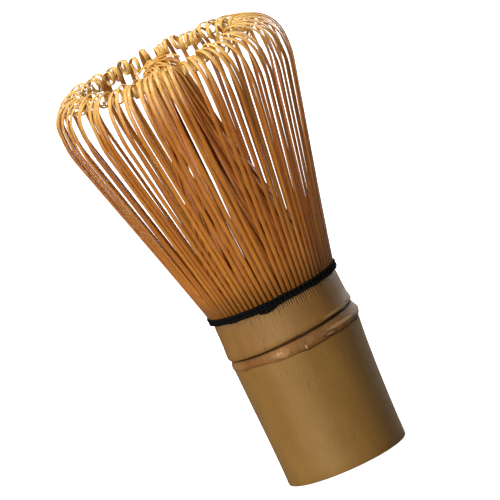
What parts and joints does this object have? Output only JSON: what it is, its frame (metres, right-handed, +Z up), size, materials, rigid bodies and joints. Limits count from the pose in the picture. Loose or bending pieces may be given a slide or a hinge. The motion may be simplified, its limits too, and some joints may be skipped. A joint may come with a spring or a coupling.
{
  "type": "bamboo tea whisk",
  "caption": "Hand whisk split from one bamboo culm, with curled outer tines held apart from the inner ones by black thread, for frothing powdered tea.",
  "frame": {"origin": "centre of the handle's flat foot, which the whisk stands on", "axes": "+Z up the handle towards the tines, +X to the viewer's right, +Y away from the viewer"},
  "size_m": [0.0562, 0.0562, 0.1021],
  "materials": {
    "handle_bamboo": "smooth satin olive-tan bamboo skin",
    "node_bamboo": "scuffed reddish-brown sheath scar",
    "culm_pith": "raw pale bamboo",
    "collar_bamboo": "matte scraped bamboo, slit at the top",
    "black_thread": "black twisted cotton",
    "inner_tine_bamboo": "thin golden-brown splints",
    "outer_tine_bamboo": "thin golden-yellow splints, lightly glossy"
  },
  "bodies": {
    "handle_and_core": {"handle": "handle_bamboo", "node_ridge": "node_bamboo", "node_diaphragm": "culm_pith", "collar": "collar_bamboo", "lacing_lower_round": "black_thread", "lacing_upper_round": "black_thread", "lacing_spreader_round": "black_thread", "lacing_knot": "black_thread", "inner_tines_01": "inner_tine_bamboo", "inner_tines_02": "inner_tine_bamboo", "inner_tines_03": "inner_tine_bamboo", "inner_tines_04": "inner_tine_bamboo", "inner_tines_05": "inner_tine_bamboo", "inner_tines_06": "inner_tine_bamboo", "inner_tines_07": "inner_tine_bamboo", "inner_tines_08": "inner_tine_bamboo", "inner_tines_09": "inner_tine_bamboo", "inner_tines_10": "inner_tine_bamboo", "inner_tines_11": "inner_tine_bamboo", "inner_tines_12": "inner_tine_bamboo", "inner_tines_13": "inner_tine_bamboo", "inner_tines_14": "inner_tine_bamboo", "inner_tines_15": "inner_tine_bamboo", "inner_tines_16": "inner_tine_bamboo"},
    "stave_01": {"outer_tines_01": "outer_tine_bamboo"},
    "stave_02": {"outer_tines_02": "outer_tine_bamboo"},
    "stave_03": {"outer_tines_03": "outer_tine_bamboo"},
    "stave_04": {"outer_tines_04": "outer_tine_bamboo"},
    "stave_05": {"outer_tines_05": "outer_tine_bamboo"},
    "stave_06": {"outer_tines_06": "outer_tine_bamboo"},
    "stave_07": {"outer_tines_07": "outer_tine_bamboo"},
    "stave_08": {"outer_tines_08": "outer_tine_bamboo"},
    "stave_09": {"outer_tines_09": "outer_tine_bamboo"},
    "stave_10": {"outer_tines_10": "outer_tine_bamboo"},
    "stave_11": {"outer_tines_11": "outer_tine_bamboo"},
    "stave_12": {"outer_tines_12": "outer_tine_bamboo"},
    "stave_13": {"outer_tines_13": "outer_tine_bamboo"},
    "stave_14": {"outer_tines_14": "outer_tine_bamboo"},
    "stave_15": {"outer_tines_15": "outer_tine_bamboo"},
    "stave_16": {"outer_tines_16": "outer_tine_bamboo"}
  },
  "joints": [
    {"name": "stave_01_flex", "type": "hinge", "parent": "handle_and_core", "child": "stave_01", "pos_m": [0.01512, 0, 0.0438], "axis": [0, 1, 0], "range_deg": [-1.5, 7], "stiffness_Nm_per_rad": 0.0186},
    {"name": "stave_02_flex", "type": "hinge", "parent": "handle_and_core", "child": "stave_02", "pos_m": [0.01395, 0.00589, 0.04377], "axis": [-0.3826, 0.9239, -0.01], "range_deg": [-1.5, 7], "stiffness_Nm_per_rad": 0.0186},
    {"name": "stave_03_flex", "type": "hinge", "parent": "handle_and_core", "child": "stave_03", "pos_m": [0.01061, 0.01089, 0.04368], "axis": [-0.7069, 0.7071, -0.0185], "range_deg": [-1.5, 7], "stiffness_Nm_per_rad": 0.0186},
    {"name": "stave_04_flex", "type": "hinge", "parent": "handle_and_core", "child": "stave_04", "pos_m": [0.00562, 0.01423, 0.04355], "axis": [-0.9236, 0.3827, -0.0242], "range_deg": [-1.5, 7], "stiffness_Nm_per_rad": 0.0186},
    {"name": "stave_05_flex", "type": "hinge", "parent": "handle_and_core", "child": "stave_05", "pos_m": [-0.00027, 0.0154, 0.0434], "axis": [-0.9997, 0, -0.0262], "range_deg": [-1.5, 7], "stiffness_Nm_per_rad": 0.0186},
    {"name": "stave_06_flex", "type": "hinge", "parent": "handle_and_core", "child": "stave_06", "pos_m": [-0.00616, 0.01423, 0.04324], "axis": [-0.9236, -0.3827, -0.0242], "range_deg": [-1.5, 7], "stiffness_Nm_per_rad": 0.0186},
    {"name": "stave_07_flex", "type": "hinge", "parent": "handle_and_core", "child": "stave_07", "pos_m": [-0.01116, 0.01089, 0.04311], "axis": [-0.7069, -0.7071, -0.0185], "range_deg": [-1.5, 7], "stiffness_Nm_per_rad": 0.0186},
    {"name": "stave_08_flex", "type": "hinge", "parent": "handle_and_core", "child": "stave_08", "pos_m": [-0.0145, 0.00589, 0.04302], "axis": [-0.3826, -0.9239, -0.01], "range_deg": [-1.5, 7], "stiffness_Nm_per_rad": 0.0186},
    {"name": "stave_09_flex", "type": "hinge", "parent": "handle_and_core", "child": "stave_09", "pos_m": [-0.01567, 0, 0.04299], "axis": [0, -1, 0], "range_deg": [-1.5, 7], "stiffness_Nm_per_rad": 0.0186},
    {"name": "stave_10_flex", "type": "hinge", "parent": "handle_and_core", "child": "stave_10", "pos_m": [-0.0145, -0.00589, 0.04302], "axis": [0.3826, -0.9239, 0.01], "range_deg": [-1.5, 7], "stiffness_Nm_per_rad": 0.0186},
    {"name": "stave_11_flex", "type": "hinge", "parent": "handle_and_core", "child": "stave_11", "pos_m": [-0.01116, -0.01089, 0.04311], "axis": [0.7069, -0.7071, 0.0185], "range_deg": [-1.5, 7], "stiffness_Nm_per_rad": 0.0186},
    {"name": "stave_12_flex", "type": "hinge", "parent": "handle_and_core", "child": "stave_12", "pos_m": [-0.00616, -0.01423, 0.04324], "axis": [0.9236, -0.3827, 0.0242], "range_deg": [-1.5, 7], "stiffness_Nm_per_rad": 0.0186},
    {"name": "stave_13_flex", "type": "hinge", "parent": "handle_and_core", "child": "stave_13", "pos_m": [-0.00027, -0.0154, 0.0434], "axis": [0.9997, 0, 0.0262], "range_deg": [-1.5, 7], "stiffness_Nm_per_rad": 0.0186},
    {"name": "stave_14_flex", "type": "hinge", "parent": "handle_and_core", "child": "stave_14", "pos_m": [0.00562, -0.01423, 0.04355], "axis": [0.9236, 0.3827, 0.0242], "range_deg": [-1.5, 7], "stiffness_Nm_per_rad": 0.0186},
    {"name": "stave_15_flex", "type": "hinge", "parent": "handle_and_core", "child": "stave_15", "pos_m": [0.01061, -0.01089, 0.04368], "axis": [0.7069, 0.7071, 0.0185], "range_deg": [-1.5, 7], "stiffness_Nm_per_rad": 0.0186},
    {"name": "stave_16_flex", "type": "hinge", "parent": "handle_and_core", "child": "stave_16", "pos_m": [0.01395, -0.00589, 0.04377], "axis": [0.3826, 0.9239, 0.01], "range_deg": [-1.5, 7], "stiffness_Nm_per_rad": 0.0186}
  ]
}
